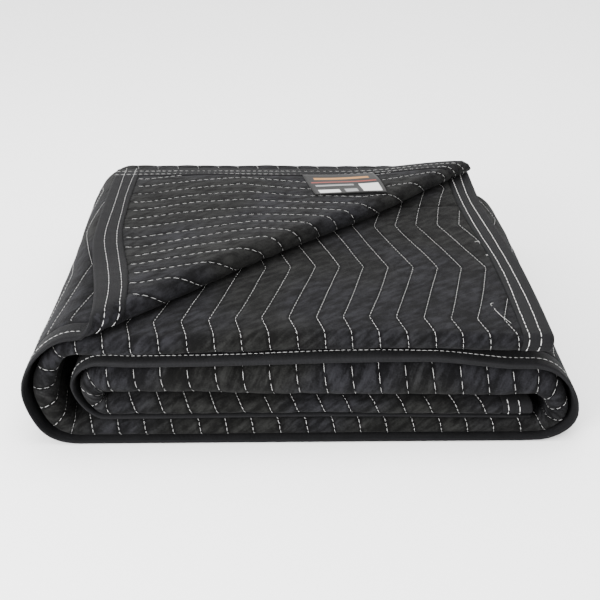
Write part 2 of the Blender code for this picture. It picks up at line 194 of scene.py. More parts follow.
# The walk along the strip
# for a lap: kind, length, name, where it starts in x, direction
# for a turn: kind, length, lap before it, form, lap after it
WALK = (
    ("lap", TOP_END_X - OUTER_LEFT[0], "top", TOP_END_X, -1.0),
    ("turn", turn_length(OUTER_LEFT, "top", "bottom"), "top", OUTER_LEFT, "bottom"),
    ("lap", RIGHT[0] - OUTER_LEFT[0], "bottom", OUTER_LEFT[0], 1.0),
    ("turn", turn_length(RIGHT, "second", "bottom"), "bottom", RIGHT, "second"),
    ("lap", RIGHT[0] - INNER_LEFT[0], "second", RIGHT[0], -1.0),
    ("turn", turn_length(INNER_LEFT, "second", "third"), "second", INNER_LEFT, "third"),
    ("lap", INNER_END_X - INNER_LEFT[0], "third", INNER_LEFT[0], 1.0),
)
STARTS = np.concatenate([[0.0], np.cumsum([leg[1] for leg in WALK])])
LENGTH = float(STARTS[-1])


def thickness(u):
    """The pad's thickness along the strip, thinner where the stack presses on it."""
    at, values = [], []
    for k, leg in enumerate(WALK):
        if leg[0] == "lap":
            at += [STARTS[k], STARTS[k + 1]]
            values += [LAPS[leg[2]][1]] * 2
        else:
            before, after = LAPS[leg[2]][1], LAPS[leg[4]][1]
            share = 1 - THIN_SHARE if before > after else THIN_SHARE
            at.append(STARTS[k] + share * leg[1])
            values.append(min(before, after))
    return np.interp(u, at, values)


def roll(u, panel):
    """The rolled-up strip's x and z at u, in the level of one panel."""
    x, z = np.zeros_like(u), np.zeros_like(u)
    which = np.clip(np.searchsorted(STARTS, u, side="right") - 1, 0, len(WALK) - 1)
    for k, leg in enumerate(WALK):
        here = which == k
        along = u[here] - STARTS[k]
        if leg[0] == "lap":
            x[here] = leg[3] + leg[4] * along
            z[here] = level(leg[2], panel, x[here])
        else:
            angle = math.pi * along / leg[1]
            centre, side, bulges, belly = leg[3]
            a, b = level(leg[2], panel, centre), level(leg[4], panel, centre)
            x[here] = centre + side * bulges[panel] * np.sin(angle)
            low = belly * abs(a - b) / 2 * np.sin(angle) ** 2
            z[here] = (a + b) / 2 + (a - b) / 2 * np.cos(angle) - low
    return np.stack([x, z], axis=-1)


def crease_radius(u, a, b):
    """Half the distance between panels a and b at u."""
    return np.linalg.norm(roll(u, a) - roll(u, b), axis=-1) / 2


TOP_BACK = DEPTH - float(crease_radius(np.zeros(1), 0, 1)[0]) - LAPS["top"][1] / 2
PANEL_1 = TOP_BACK - FRONT_SETBACK
PANEL_2 = PANEL_1 - PANEL_TAKE_UP
# kind, width of cloth, the panel or the two panels that a crease joins
FOLDS = (
    ("panel", PANEL_1, 0),
    ("back", BACK_CREASE, (0, 1)),
    ("panel", PANEL_2, 1),
    ("front", FRONT_CREASE, (1, 2)),
    ("panel", PANEL_2, 2),
    ("back", INNER_CREASE, (2, 3)),
    ("panel", PANEL_2 - HIDDEN_SETBACK, 3),
)
FOLD_STARTS = np.concatenate([[0.0], np.cumsum([fold[1] for fold in FOLDS])])
WIDTH = float(FOLD_STARTS[-1])

# The line of the turned corner, from the back right to the front left
TURN_A = np.array([TOP_END_X, TOP_BACK - TURN_BACK_GAP])
TURN_B = np.array([TURN_FRONT_X, FRONT_SETBACK])
TURN_SPAN = float(np.linalg.norm(TURN_B - TURN_A))
TURN_ALONG = (TURN_B - TURN_A) / TURN_SPAN
TURN_ACROSS = np.array([-TURN_ALONG[1], TURN_ALONG[0]])


def swelling(p):
    """How much the turned corner stands up at p, from 0 in its trough and at its edges to 1."""
    a, b = np.array(TROUGH_FROM), np.array(TROUGH_TO)
    along = (b - a) / np.linalg.norm(b - a)
    off = (p[:, :2] - a) @ np.array([-along[1], along[0]])
    back = smooth((TOP_BACK - BINDING - p[:, 1]) / SWELL_FADE)
    edge = back * smooth((p[:, 0] - TURN_FRONT_X - BINDING) / SWELL_FADE)
    return (1 - np.exp(-((off / TROUGH_WIDTH) ** 2))) * edge


def turned_back(p):
    """Roll the points of the top layer that lie past the turn's line back over it."""
    flat = p[:, :2] - TURN_A
    s = flat @ TURN_ACROSS
    radius = np.interp(flat @ TURN_ALONG / TURN_SPAN, *zip(*TURN_RADIUS))
    past = s - math.pi * radius
    bend = np.clip(s / radius, 0.0, math.pi)
    reach = np.where(past > 0, -past, radius * np.sin(bend))
    settle = smooth(past / TURN_SETTLE)
    lift = np.where(past > 0, 2 * radius + (TURN_GAP - 2 * radius) * settle, radius * (1 - np.cos(bend)))
    out = p.copy()
    out[:, :2] = p[:, :2] + np.outer(reach - s, TURN_ACROSS)
    out[:, 0] -= LEAN * smooth(past / LEAN_WIDTH)
    out[:, 2] += lift + SWELL * settle * swelling(out)
    return np.where((s > 0)[:, None], out, p)


def past_the_turn(u, v):
    """How far the flat point u, v of panel 1 lies past the line of the turned corner."""
    at = np.stack([TOP_END_X - u, FRONT_SETBACK + v], axis=-1) - TURN_A
    return at @ TURN_ACROSS


def middle(u, v):
    """The middle of the cloth at u, v, folded, rolled and turned back."""
    out = np.zeros((len(u), 3))
    which = np.clip(np.searchsorted(FOLD_STARTS, v, side="right") - 1, 0, len(FOLDS) - 1)
    half = thickness(u) / 2
    back_y = DEPTH - crease_radius(u, 0, 1) - half
    front_y = crease_radius(u, 1, 2) + half
    ends = (
        (np.interp(u, STARTS, SETBACKS), back_y),
        (back_y, front_y),
        (front_y, back_y),
        (back_y, front_y + HIDDEN_SETBACK),
    )
    for k, (kind, length, panels) in enumerate(FOLDS):
        here = which == k
        share = (v[here] - FOLD_STARTS[k]) / length
        if kind == "panel":
            first, last = ends[panels]
            xz = roll(u[here], panels)
            y = first[here] + (last[here] - first[here]) * share
        else:
            a, b = roll(u[here], panels[0]), roll(u[here], panels[1])
            angle = math.pi * share[:, None]
            xz = (a + b) / 2 + (a - b) / 2 * np.cos(angle)
            bulge = np.linalg.norm(a - b, axis=-1) / 2 * np.sin(angle[:, 0])
            y = back_y[here] + bulge if kind == "back" else front_y[here] - bulge
        out[here] = np.stack([xz[:, 0], y, xz[:, 1]], axis=-1)
    corner = (which == 0) & (u < STARTS[1])
    out[corner] = turned_back(out[corner])
    on_second = smooth((u - STARTS[4]) / DROOP_WIDTH) * smooth((STARTS[5] - u) / DROOP_WIDTH)
    out[:, 2] -= DROOP * on_second * (1 - smooth(v / DROOP_WIDTH))
    return out


def uneven(p):
    """Let the whole stack sag, sway, reach, lift and pull in a little."""
    x, y, z = p.T
    sag, sag_x, sag_y, phase = SAG
    dz = sag * z / SAG_HEIGHT * np.sin(sag_x * x + phase) * np.cos(sag_y * y)
    rise = smooth(z / STEADY_HEIGHT)
    dy = SWAY_Y[0] * rise * np.sin(SWAY_Y[1] * x + SWAY_Y[2] * z + SWAY_Y[3])
    dx = SWAY_X[0] * rise * np.sin(SWAY_X[1] * y + SWAY_X[2] * z + SWAY_X[3])
    dy -= REACH * (1 - rise) * (1 - smooth(y / REACH_DEPTH))
    lift, run, height, spread = LIFT
    dz += lift * rise * smooth(-x / run) * np.exp(-(((z - height) / spread) ** 2))
    pulled = [smooth((c - start) / run) for c, start, run in zip((x, y, z), PULL_FROM, PULL_RUN)]
    dx -= PULL * pulled[0] * pulled[1] * pulled[2]
    return p + np.stack([dx, dy, dz], axis=-1)


def fold(u, v, h):
    """Flat points u, v at height h as they lie in the folded pad."""
    du = middle(u + STEP, v) - middle(u - STEP, v)
    dv = middle(u, v + STEP) - middle(u, v - STEP)
    normal = np.cross(dv, du)
    normal /= np.linalg.norm(normal, axis=-1, keepdims=True)
    return uneven(middle(u, v) + normal * (h + crumple(u, v))[:, None]) + SHIFT


def edge_distance(u, v):
    return np.minimum(np.minimum(u, LENGTH - u), np.minimum(v, WIDTH - v))


def off_floor(u):
    """0 on the bottom lap, 1 on the others."""
    return smooth((STARTS[2] - u) / FLOOR_FADE) + smooth((u - STARTS[3]) / FLOOR_FADE)


def crumple(u, v):
    """How far the whole thickness of the pad wanders from its smooth lie."""
    total = sum(a * np.sin(ku * u + kv * v + phase) for a, ku, kv, phase in CRUMPLES)
    inland = smooth((edge_distance(u, v) - SHOULDER) / SHOULDER)
    along = smooth((u - TUCK_RUN[0]) / TUCK_FADES[0]) * smooth((TUCK_RUN[1] - u) / TUCK_FADES[1])
    tuck = TUCK_DEPTH * np.exp(-(((v - TUCK) / TUCK_WIDTH) ** 2)) * along
    return total * off_floor(u) * inland - tuck


def zigzag(v):
    """The zigzag of the quilting along v, from -1 to 1."""
    phase = (v - FIRST_VERTEX) / HALF_WAVE
    return 1 - 2 * np.abs((phase + 1) % 2 - 1)


def swing(u):
    """How far the mesh columns follow the zigzag, less by the two ends of the pad."""
    return smooth((u - SHOULDER) / SWING_FADE) * smooth((LENGTH - SHOULDER - u) / SWING_FADE)


def follow(u, v):
    """Where the mesh column from u runs at v."""
    return u + ZIGZAG * swing(u) * zigzag(v)


def line_distance(u, v):
    """The distance along u to the nearest row of quilting."""
    t = (u - ZIGZAG * zigzag(v) - LINE_START) / LINE_PITCH
    return np.abs(t - np.round(t)) * LINE_PITCH


def half_thickness(u, v):
    """Half the pad's thickness, drawn in along the stitching and under the binding."""
    puff = smooth(line_distance(u, v) / (LINE_PITCH * PUFF_REACH)) ** PUFF_POWER
    full = thickness(u) / 2 - PINCH * (1 - puff) * off_floor(u)
    rim = thickness(u) / 2 - RIM_DROP
    blend = smooth((edge_distance(u, v) - BINDING - CLEAR) / (SHOULDER - RIM))
    return np.minimum(full, rim + (full - rim) * blend)


def columns():
    """The mesh columns along u; each follows the zigzag beside it."""
    at = {0.0, RIM, SHOULDER, LENGTH - SHOULDER, LENGTH - RIM, LENGTH}
    for k, steps in enumerate(COLUMNS_PER_PITCH):
        pitch = LINE_PITCH / steps
        line = FIRST_LINE
        while line < LENGTH - SHOULDER - pitch / 2:
            if line > SHOULDER + pitch / 2 and STARTS[k] <= line < STARTS[k + 1]:
                at.add(line)
            line += pitch
    return np.array(sorted(at))


def inner_rows():
    """The mesh rows along v between the shoulders, closer where the cloth shows or bends."""
    at = {TUCK + TUCK_WIDTH * step for step in TUCK_ROWS}
    for k, steps in enumerate(ROWS_PER_FOLD):
        at.update(FOLD_STARTS[k] + FOLDS[k][1] * step / steps for step in range(steps + 1))
    return sorted(v for v in at if SHOULDER < v < WIDTH - SHOULDER)


def rows():
    return np.array([0.0, RIM, SHOULDER] + inner_rows() + [WIDTH - SHOULDER, WIDTH - RIM, WIDTH])


def add(name, data):
    """Put an object with this data into the scene."""
    made = bpy.data.objects.new(name, data)
    bpy.context.scene.collection.objects.link(made)
    return made


def mesh_of(name, bm, u, v, side=None):
    """Turn a bmesh into a piece on the body, with its flat place kept as a UV map."""
    mesh = bpy.data.meshes.new(name)
    bm.to_mesh(mesh)
    bm.free()
    layer = mesh.uv_layers.new(name="flat")
    index = np.zeros(len(mesh.loops), np.int32)
    mesh.loops.foreach_get("vertex_index", index)
    flat = np.stack([u, v], axis=-1)
    layer.data.foreach_set("uv", flat[index].astype(np.float32).ravel())
    if side is not None:
        attribute = mesh.attributes.new("side", "FLOAT", "POINT")
        attribute.data.foreach_set("value", side.astype(np.float32))
    mesh.polygons.foreach_set("use_smooth", [True] * len(mesh.polygons))
    piece = add(name, mesh)
    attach(piece, "root")
    return piece


def flat_points(bm):
    return np.array([v.co[:] for v in bm.verts])


def place(bm, points):
    for v, p in zip(bm.verts, points):
        v.co = p


def cut_turn(bm):
    """Cut the flat grid along the bends of the turned corner."""
    for s in np.linspace(0.0, math.pi * CUT_RADIUS, TURN_CUTS):
        x, y = TURN_A + s * TURN_ACROSS
        faces = [f for f in bm.faces if all(c.co.x < STARTS[1] and c.co.y < PANEL_1 for c in f.verts)]
        geom = set(faces)
        for f in faces:
            geom.update(f.edges)
            geom.update(f.verts)
        bmesh.ops.bisect_plane(
            bm,
            geom=list(geom),
            dist=CUT_REACH,
            plane_co=(TOP_END_X - x, y - FRONT_SETBACK, 0.0),
            plane_no=(-TURN_ACROSS[0], TURN_ACROSS[1], 0.0),
        )


def strip_grid(us, vs):
    """A flat grid whose vertices stand at the stations us and vs."""
    bm = bmesh.new()
    bmesh.ops.create_grid(bm, x_segments=len(us) - 1, y_segments=len(vs) - 1, size=1.0)
    for v in bm.verts:
        i = round((v.co.x + 1) / 2 * (len(us) - 1))
        j = round((v.co.y + 1) / 2 * (len(vs) - 1))
        v.co = (us[i], vs[j], 0.0)
    return bm


def turn_faces(bm):
    """Make the faces of a flat shape look inwards, because folding mirrors it."""
    bmesh.ops.recalc_face_normals(bm, faces=bm.faces[:])
    bmesh.ops.reverse_faces(bm, faces=bm.faces[:])


def two_sided(bm):
    """Give a flat grid a second side, and return each point's u, v and side, 1 or -1."""
    extruded = bmesh.ops.extrude_face_region(bm, geom=bm.faces[:])
    under = {e for e in extruded["geom"] if isinstance(e, bmesh.types.BMVert)}
    for v in bm.verts:
        v.co.z = -1.0 if v in under else 1.0
    turn_faces(bm)
    return flat_points(bm).T


def make_pad():
    bm = strip_grid(columns(), rows())
    p = flat_points(bm)
    p[:, 0] = follow(p[:, 0], p[:, 1])
    place(bm, p)
    cut_turn(bm)
    u, v, side = two_sided(bm)
    place(bm, fold(u, v, side * half_thickness(u, v)))
    return mesh_of("pad_cloth", bm, u, v, side)


def there_and_back(points, side):
    """Points of a section on one side, then the same points backwards on the other."""
    return [(d, drop, side) for d, drop in points] + [(d, drop, -side) for d, drop in reversed(points)]


def make_binding(name, stations, place_at):
    """A strip of tape folded over an edge, lofted along the stations."""
    section = there_and_back(TAPE_FACE, 1) + there_and_back(TAPE_LINING, -1)
    ring = np.array(section + section[:1])
    bm = strip_grid(np.arange(len(stations)), np.arange(len(ring)))
    where = np.rint(flat_points(bm)).astype(int)
    s = np.array(stations)[where[:, 0]]
    d, drop, side = ring[where[:, 1]].T
    u, v = place_at(s, d)
    pucker = TAPE_PUCKER * np.sin(s * 2 * math.pi / PUCKER_PITCH)
    h = side * (thickness(u) / 2 - drop + pucker * (drop < LINING - WELD))
    place(bm, np.stack([u, v, h], axis=-1))
    bmesh.ops.remove_doubles(bm, verts=bm.verts[:], dist=WELD)
    bmesh.ops.holes_fill(bm, edges=[e for e in bm.edges if e.is_boundary], sides=0)
    turn_faces(bm)
    u, v, h = flat_points(bm).T
    place(bm, fold(u, v, h))
    return mesh_of(name, bm, u, v)


def make_label():
    bm = strip_grid(np.linspace(*LABEL_U, LABEL_STEPS), np.linspace(*LABEL_V, LABEL_STEPS))
    u, v, side = two_sided(bm)
    outside = np.where(side > 0, 0.0, LABEL_CLOTH * LABEL_SHARE)
    curl = LABEL_CURL * smooth((u - CURL_START) / CURL_RUN)
    place(bm, fold(u, v, -(thickness(u) / 2 + LABEL_GAP + outside + curl)))
    return mesh_of("sewn_label", bm, u, v)


def stitch_shape():
    """One stitch, a small rounded length of thread along x."""
    bm = bmesh.new()
    bmesh.ops.create_uvsphere(bm, u_segments=6, v_segments=4, radius=1.0)
    for v in bm.verts:
        x, y, z = v.co
        v.co = (z, x, y)
    mesh = bpy.data.meshes.new("stitch_shape")
    bm.to_mesh(mesh)
    bm.free()
    return mesh


def make_stitches(name, stitches, radius):
    """Lay stitches given as u, v, direction, length, side and height over the pad."""
    stitches = np.array(stitches)
    shape = stitch_shape()
    bm = bmesh.new()
    for _ in range(len(stitches)):
        bm.from_mesh(shape)
    local = flat_points(bm).reshape(len(stitches), -1, 3)
    bpy.data.meshes.remove(shape)
    u, v, angle, length, side, lift = (stitches[:, k, None] for k in range(6))
    along, across, up = local[..., 0], local[..., 1], local[..., 2]
    a, b = along * length / 2, across * radius
    us = (u + a * np.cos(angle) - b * np.sin(angle)).ravel()
    vs = (v + a * np.sin(angle) + b * np.cos(angle)).ravel()
    bow = radius * STITCH_BOW * (1 - along**2)
    h = side * (lift + bow - radius * STITCH_SINK + up * radius)
    place(bm, fold(us, vs, h.ravel()))
    bmesh.ops.recalc_face_normals(bm, faces=bm.faces[:])
    return mesh_of(name, bm, us, vs)


def shows_outer(u, v):
    """Where stitches on the outer side can be seen."""
    in_back = (v > PANEL_1 - FAR) & (v < FOLD_STARTS[2] + NEAR)
    in_front = (v > FOLD_STARTS[3] - FAR) & (v < FOLD_STARTS[4] + FAR)
    on_third = (v >= FOLD_STARTS[4]) & (v < FOLD_STARTS[5] - THIRD_CLEAR) & (u < STARTS[1])
    open_top = on_third & (past_the_turn(u, v - FOLD_STARTS[4] - FRONT_SETBACK) > -MID)
    over_left = (v < PANEL_1) & (u > STARTS[1] - FAR) & (u < STARTS[2] - OFF_FLOOR)
    over_right = (v < PANEL_1) & (u > STARTS[3] + OFF_FLOOR) & (u < STARTS[4] + NEAR)
    bottom = (u > STARTS[2] - NEAR) & (u < STARTS[3] + NEAR)
    under_foot = bottom & (v < PANEL_1 + FOOT_SHARE * BACK_CREASE)
    return (in_back | in_front | open_top | over_left | over_right) & ~under_foot


def shows_under(u, v):
    """Where stitches on the under side can be seen, on the turned corner."""
    return (u < STARTS[1]) & (v < PANEL_1 - ROLL_CLEAR) & (past_the_turn(u, v) > ROLL_CLEAR)


def sewn_line(line, v):
    """Where a row of quilting runs along u at v: the zigzag, a little rounded and unsteady."""
    around = [float(zigzag(v + step * ROUNDING)) for step in (-1.0, -0.4, 0.4, 1.0)]
    wander, rate_along, rate_across = WANDER
    unsteady = wander * math.sin(rate_along * v + rate_across * line)
    return line + ZIGZAG * sum(around) / len(around) + unsteady


def quilting(side, shows, seam):
    """The zigzag rows of stitches on one side, where they show."""
    _, dash, gap = seam
    found = []
    line = FIRST_LINE
    while line < LENGTH:
        v = QUILT_EDGE + rng.uniform(0, dash)
        while v < WIDTH - SHOULDER:
            slope = (sewn_line(line, v + dash) - sewn_line(line, v)) / dash
            angle = math.atan2(1.0, slope)
            centre = v + dash / 2 * math.sin(angle)
            u = sewn_line(line, centre)
            if QUILT_EDGE < u < LENGTH - QUILT_EDGE:
                size = dash * rng.uniform(*QUILT_SIZES)
                found.append((u, centre, angle + rng.normal(0, QUILT_TURN), size, side, 0.0))
            v += (dash + gap) * math.sin(angle)
        line += LINE_PITCH
    found = np.array(found)
    found = found[shows(found[:, 0], found[:, 1])]
    u, v = found[:, 0], found[:, 1]
    found[:, 5] = half_thickness(u, v) + END_RISE * PINCH * (1 - swing(u))
    return found


def tape_rows(end, place_at, heading, side, shows, seam, rows_at):
    """Straight rows of stitches along a binding."""
    _, dash, gap = seam
    wander, rate_along, rate_across = TAPE_WANDER
    found = []
    for row in rows_at:
        s = rng.uniform(0, dash)
        while s < end:
            d = row + wander * math.sin(s * rate_along + row * rate_across) + rng.normal(0, TAPE_JITTER)
            u, v = place_at(s, d)
            angle = heading + rng.normal(0, TAPE_TURN)
            if shows(u, v):
                lift = float(thickness(u)) / 2 - BINDING_OUT
                found.append((u, v, angle, dash * rng.uniform(*TAPE_SIZES), side, lift))
            s += dash + gap
    return found


def front_shows(u, v):
    return u > STARTS[1] - FRONT_FAR and not STARTS[2] - OFF_FLOOR < u < STARTS[3] + OFF_FLOOR


def turned_front_shows(u, v):
    return u < STARTS[1] + NEAR and past_the_turn(np.array([u]), np.array([v]))[0] > ROLL_TAPE_CLEAR


def end_shows(u, v):
    return PANEL_1 - MID < v < FOLD_STARTS[2] + MID or v > FOLD_STARTS[3] - FAR


def turned_end_shows(u, v):
    return v < PANEL_1 - END_CLEAR


def far_end_shows(u, v):
    return v > FOLD_STARTS[3]


def loose_ends():
    found = []
    for u, v, heading, length, turn in LOOSE_ENDS:
        count = int(length / LOOSE_STEP)
        for k in range(count):
            angle = math.radians(heading + turn * k / count + rng.normal(0, LOOSE_WOBBLE))
            u += LOOSE_STEP * math.cos(angle)
            v += LOOSE_STEP * math.sin(angle)
            lift = float(thickness(u)) / 2 + LOOSE_LIFT + LOOSE_ARCH * math.sin(math.pi * k / count)
            found.append((u, v, angle, LOOSE_STEP * LOOSE_OVERLAP, 1, lift))
    return found


class Value:
    """A shader value that Python's operators work on."""

    def __init__(self, tree, socket):
        self.tree, self.socket = tree, socket

    def math(self, operation, *values):
        return node(self.tree, "ShaderNodeMath", {"operation": operation}, dict(enumerate((self, *values))))

    def __add__(self, other):
        return self.math("ADD", other)

    def __sub__(self, other):
        return self.math("SUBTRACT", other)

    def __rsub__(self, other):
        return self.math("MULTIPLY", -1.0).math("ADD", other)

    def __mul__(self, other):
        return self.math("MULTIPLY", other)

    def __truediv__(self, other):
        return self.math("DIVIDE", other)

    def above(self, low, high):
        """0 below low, 1 above high, smooth between."""
        values = {0: self, 1: low, 2: high, 3: 0.0, 4: 1.0}
        return node(self.tree, "ShaderNodeMapRange", {"interpolation_type": "SMOOTHSTEP"}, values)

    __radd__, __rmul__ = __add__, __mul__


def node(tree, kind, settings, sockets, output=0):
    """Add a node with its settings and its sockets' values or links."""
    made = tree.nodes.new(kind)
    for key, value in settings.items():
        setattr(made, key, value)
    for key, value in sockets.items():
        target = made.inputs[key]
        if isinstance(value, Value):
            tree.links.new(value.socket, target)
        else:
            target.default_value = value
    return Value(tree, made.outputs[output])


def material(name, constants):
    """A material whose constant shader sockets are set, and its tree and shader."""
    made = bpy.data.materials.new(name)
    made.use_nodes = True
    shader = made.node_tree.nodes["Principled BSDF"]
    for key, value in constants.items():
        shader.inputs[key].default_value = value
    return made, made.node_tree, shader


def feed(tree, shader, socket, value):
    tree.links.new(value.socket, shader.inputs[socket])


def flat_map(tree):
    return node(tree, "ShaderNodeUVMap", {"uv_map": "flat"}, {})


def flat_uv(tree, scale=(1.0, 1.0, 1.0), turn=0.0):
    """Flat coordinates scaled, then turned."""
    sockets = {"Vector": flat_map(tree), "Scale": scale, "Rotation": (0.0, 0.0, turn)}
    return node(tree, "ShaderNodeMapping", {}, sockets)


def slanted_uv(tree, stretch, slant):
    """Flat coordinates drawn out by stretch along the direction slant."""
    sockets = {"Vector": flat_map(tree), "Scale": (stretch, 1.0, 1.0), "Rotation": (0.0, 0.0, slant)}
    return node(tree, "ShaderNodeMapping", {"vector_type": "TEXTURE"}, sockets)


def flat_parts(tree):
    """The flat coordinates u and v, each as a value."""
    parts = node(tree, "ShaderNodeSeparateXYZ", {}, {0: flat_map(tree)})
    return parts, Value(tree, parts.socket.node.outputs[1])


def object_place(tree):
    return node(tree, "ShaderNodeTexCoord", {}, {}, 3)


def noise(tree, vector, scale, detail, rough=0.5):
    sockets = {"Vector": vector, "Scale": scale, "Detail": detail, "Roughness": rough}
    return node(tree, "ShaderNodeTexNoise", {"noise_dimensions": "3D"}, sockets)


def bands(tree, scale, turn):
    """Close parallel bands over the flat cloth, 0 between them and 1 on them."""
    sockets = {"Vector": flat_uv(tree, turn=turn), "Scale": scale, "Distortion": 1.2, "Detail": 1.0}
    return node(tree, "ShaderNodeTexWave", {"wave_type": "BANDS"}, sockets, 1)


def mix_colour(tree, factor, a, b):
    return node(tree, "ShaderNodeMix", {"data_type": "RGBA"}, {0: factor, 6: a, 7: b}, 2)


def bump(tree, shader, height, distance, strength):
    sockets = {"Height": height, "Distance": distance, "Strength": strength}
    feed(tree, shader, "Normal", node(tree, "ShaderNodeBump", {}, sockets))


# Colours of the finishes; those of the felt drift between two shades
FELT_DARK = ((0.0011, 0.0011, 0.0010, 1.0), (0.0011, 0.0011, 0.0014, 1.0))
FELT_LIGHT = ((0.0098, 0.0099, 0.0094, 1.0), (0.0104, 0.0104, 0.0122, 1.0))
TAPE_DARK, TAPE_LIGHT = (0.0010, 0.0010, 0.0012, 1.0), (0.0070, 0.0070, 0.0079, 1.0)
THREAD_WHITE, THREAD_DULL = (0.52, 0.52, 0.51), 0.62
LABEL_GROUND = (0.0026, 0.0024, 0.0022, 1.0)
PAPER_WHITE = (0.92, 0.92, 0.92, 1.0)
# the felt's wisps: how far they are drawn out, and their slant in radians
WISP_STRETCH, WISP_SLANT = 3.6, -0.72
# distance from a row where its groove, bumped in and darkened with painted shade, starts and ends, and where
# its small puckers end
GROOVE_FROM, GROOVE_TO, PUCKER_TO = 0.0004, 0.0042, 0.012
# areas of the label: from and to along it, from and to down it, colour; how soft their edges are
LABEL_AREAS = (
    (0.12, 0.88, 0.16, 0.27, (0.26, 0.12, 0.03, 1.0)),
    (0.05, 0.95, 0.38, 0.43, (0.20, 0.03, 0.02, 1.0)),
    (0.08, 0.60, 0.52, 0.60, (0.17, 0.17, 0.17, 1.0)),
    (0.07, 0.36, 0.76, 0.93, (0.46, 0.46, 0.45, 1.0)),
    (0.42, 0.60, 0.76, 0.93, (0.17, 0.17, 0.17, 1.0)),
    (0.66, 0.95, 0.52, 0.93, (0.48, 0.48, 0.47, 1.0)),
)
SOFT_ALONG, SOFT_DOWN = 0.01, 0.012


def felt():
    """Non-woven cloth: matted dark fibres, grooved along the stitching, with painted shade darkening the
    grooves.
    """
    constants = {
        "Roughness": 0.95,
        "Sheen Weight": 0.012,
        "Sheen Roughness": 0.5,
        "Specular IOR Level": 0.08,
    }
    made, tree, shader = material("quilted_felt", constants)
    u, v = flat_parts(tree)
    side = node(tree, "ShaderNodeAttribute", {"attribute_name": "side"}, {}, 2)
    swing_at = ((v - FIRST_VERTEX) / (2 * HALF_WAVE)).math("PINGPONG", 0.5) * -4.0 + 1.0
    t = (u - swing_at * ZIGZAG - LINE_START) / LINE_PITCH
    off_line = t.math("PINGPONG", 0.5) * LINE_PITCH
    # the groove by each row of quilting: a bump, and painted shade in the colour
    shaded_groove = 1 - off_line.above(GROOVE_FROM, GROOVE_TO)
    at = object_place(tree)
    fibres = noise(tree, flat_uv(tree, (1.0, 5.0, 1.0), 0.6), scale=420.0, detail=3.0, rough=0.6)
    cross = noise(tree, flat_uv(tree, (5.0, 1.0, 1.0), 0.25), scale=400.0, detail=3.0, rough=0.6)
    grain = noise(tree, at, scale=900.0, detail=2.0, rough=0.6)
    blotch = noise(tree, at, scale=95.0, detail=4.0, rough=0.62)
    broad = noise(tree, at, scale=17.0, detail=2.0)
    matted = fibres * 0.4 + cross * 0.35 + grain * 0.25
    wisps = noise(tree, slanted_uv(tree, WISP_STRETCH, WISP_SLANT), scale=135.0, detail=4.0, rough=0.62)
    tone = (matted - 0.5) * 1.7 + (blotch - 0.5) * 0.9 + (wisps - 0.5) * 2.2 + (broad - 0.5) * 0.5 + 0.5
    # painted shade darkens the stitched grooves; the cloth's outer side is a little darker than its under
    # side
    tone = tone - shaded_groove * 0.35 - side.above(-0.5, 0.5) * 0.10
    drift = noise(tree, at, scale=7.0, detail=1.0).above(0.40, 0.60)
    dark, light = mix_colour(tree, drift, *FELT_DARK), mix_colour(tree, drift, *FELT_LIGHT)
    feed(tree, shader, "Base Color", mix_colour(tree, tone.above(0.05, 0.95), dark, light))
    pucker = (v * 480.0).math("SINE") * off_line.above(PUCKER_TO, 0.0)
    ripple = noise(tree, flat_uv(tree, (2.4, 1.0, 1.0)), scale=26.0, detail=2.0, rough=0.55)
    height = matted * 0.9 + blotch * 0.6 - shaded_groove * 0.4 + pucker * 0.16 + ripple * 3.4
    bump(tree, shader, height, distance=0.0011, strength=0.85)
    return made


def tape():
    """Edge tape: a close plain weave, smoother than the felt."""
    constants = {"Sheen Weight": 0.008, "Sheen Roughness": 0.4, "Specular IOR Level": 0.10}
    made, tree, shader = material("edge_tape", constants)
    weave = bands(tree, scale=260.0, turn=0.0) * bands(tree, scale=300.0, turn=math.pi / 2)
    at = object_place(tree)
    cloud = noise(tree, at, scale=60.0, detail=3.0, rough=0.6)
    lint = noise(tree, at, scale=700.0, detail=2.0, rough=0.7)
    tone = weave * 0.35 + cloud * 0.5 + lint * 0.35 - 0.1
    feed(tree, shader, "Base Color", mix_colour(tree, tone.above(0.1, 0.9), TAPE_DARK, TAPE_LIGHT))
    feed(tree, shader, "Roughness", cloud * 0.2 + 0.7)
    bump(tree, shader, weave * 0.6 + cloud * 0.8, distance=0.0005, strength=0.8)
    return made


def thread(name, colour):
    """Spun thread, a little fluffy."""
    made, tree, shader = material(name, {"Roughness": 0.8, "Sheen Weight": 0.2, "Specular IOR Level": 0.3})
    fluff = noise(tree, object_place(tree), scale=1400.0, detail=2.0, rough=0.6)
    dull = tuple(THREAD_DULL * c for c in colour)
    feed(tree, shader, "Base Color", mix_colour(tree, fluff.above(0.25, 0.7), (*dull, 1.0), (*colour, 1.0)))
    bump(tree, shader, fluff, distance=0.0003, strength=0.6)
    return made


def label_print():
    """A plain label: dark ground, colour bars and blank panels."""
    made, tree, shader = material("label_print", {"Specular IOR Level": 0.12})
    u, v = flat_parts(tree)
    down = (u - LABEL_U[0]) / (LABEL_U[1] - LABEL_U[0])
    along = (v - LABEL_V[0]) / (LABEL_V[1] - LABEL_V[0])
    colour = LABEL_GROUND
    for left, right, top, bottom, tint in LABEL_AREAS:
        inside = along.above(left, left + SOFT_ALONG) * (1 - along.above(right - SOFT_ALONG, right))
        inside = inside * down.above(top, top + SOFT_DOWN) * (1 - down.above(bottom - SOFT_DOWN, bottom))
        colour = mix_colour(tree, inside, colour, tint)
    feed(tree, shader, "Base Color", colour)
    weave = noise(tree, flat_uv(tree), scale=1500.0, detail=2.0)
    feed(tree, shader, "Roughness", weave * 0.2 + 0.42)
    bump(tree, shader, weave, distance=0.0002, strength=0.5)
    return made


def finish_piece(piece, made, replaced=None):
    piece.data.materials.append(made)
    if replaced:
        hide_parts(replaced)


def along_front(s, d):
    return s, d


def along_top_end(s, d):
    return d, s


def along_inner_end(s, d):
    return LENGTH - d, s


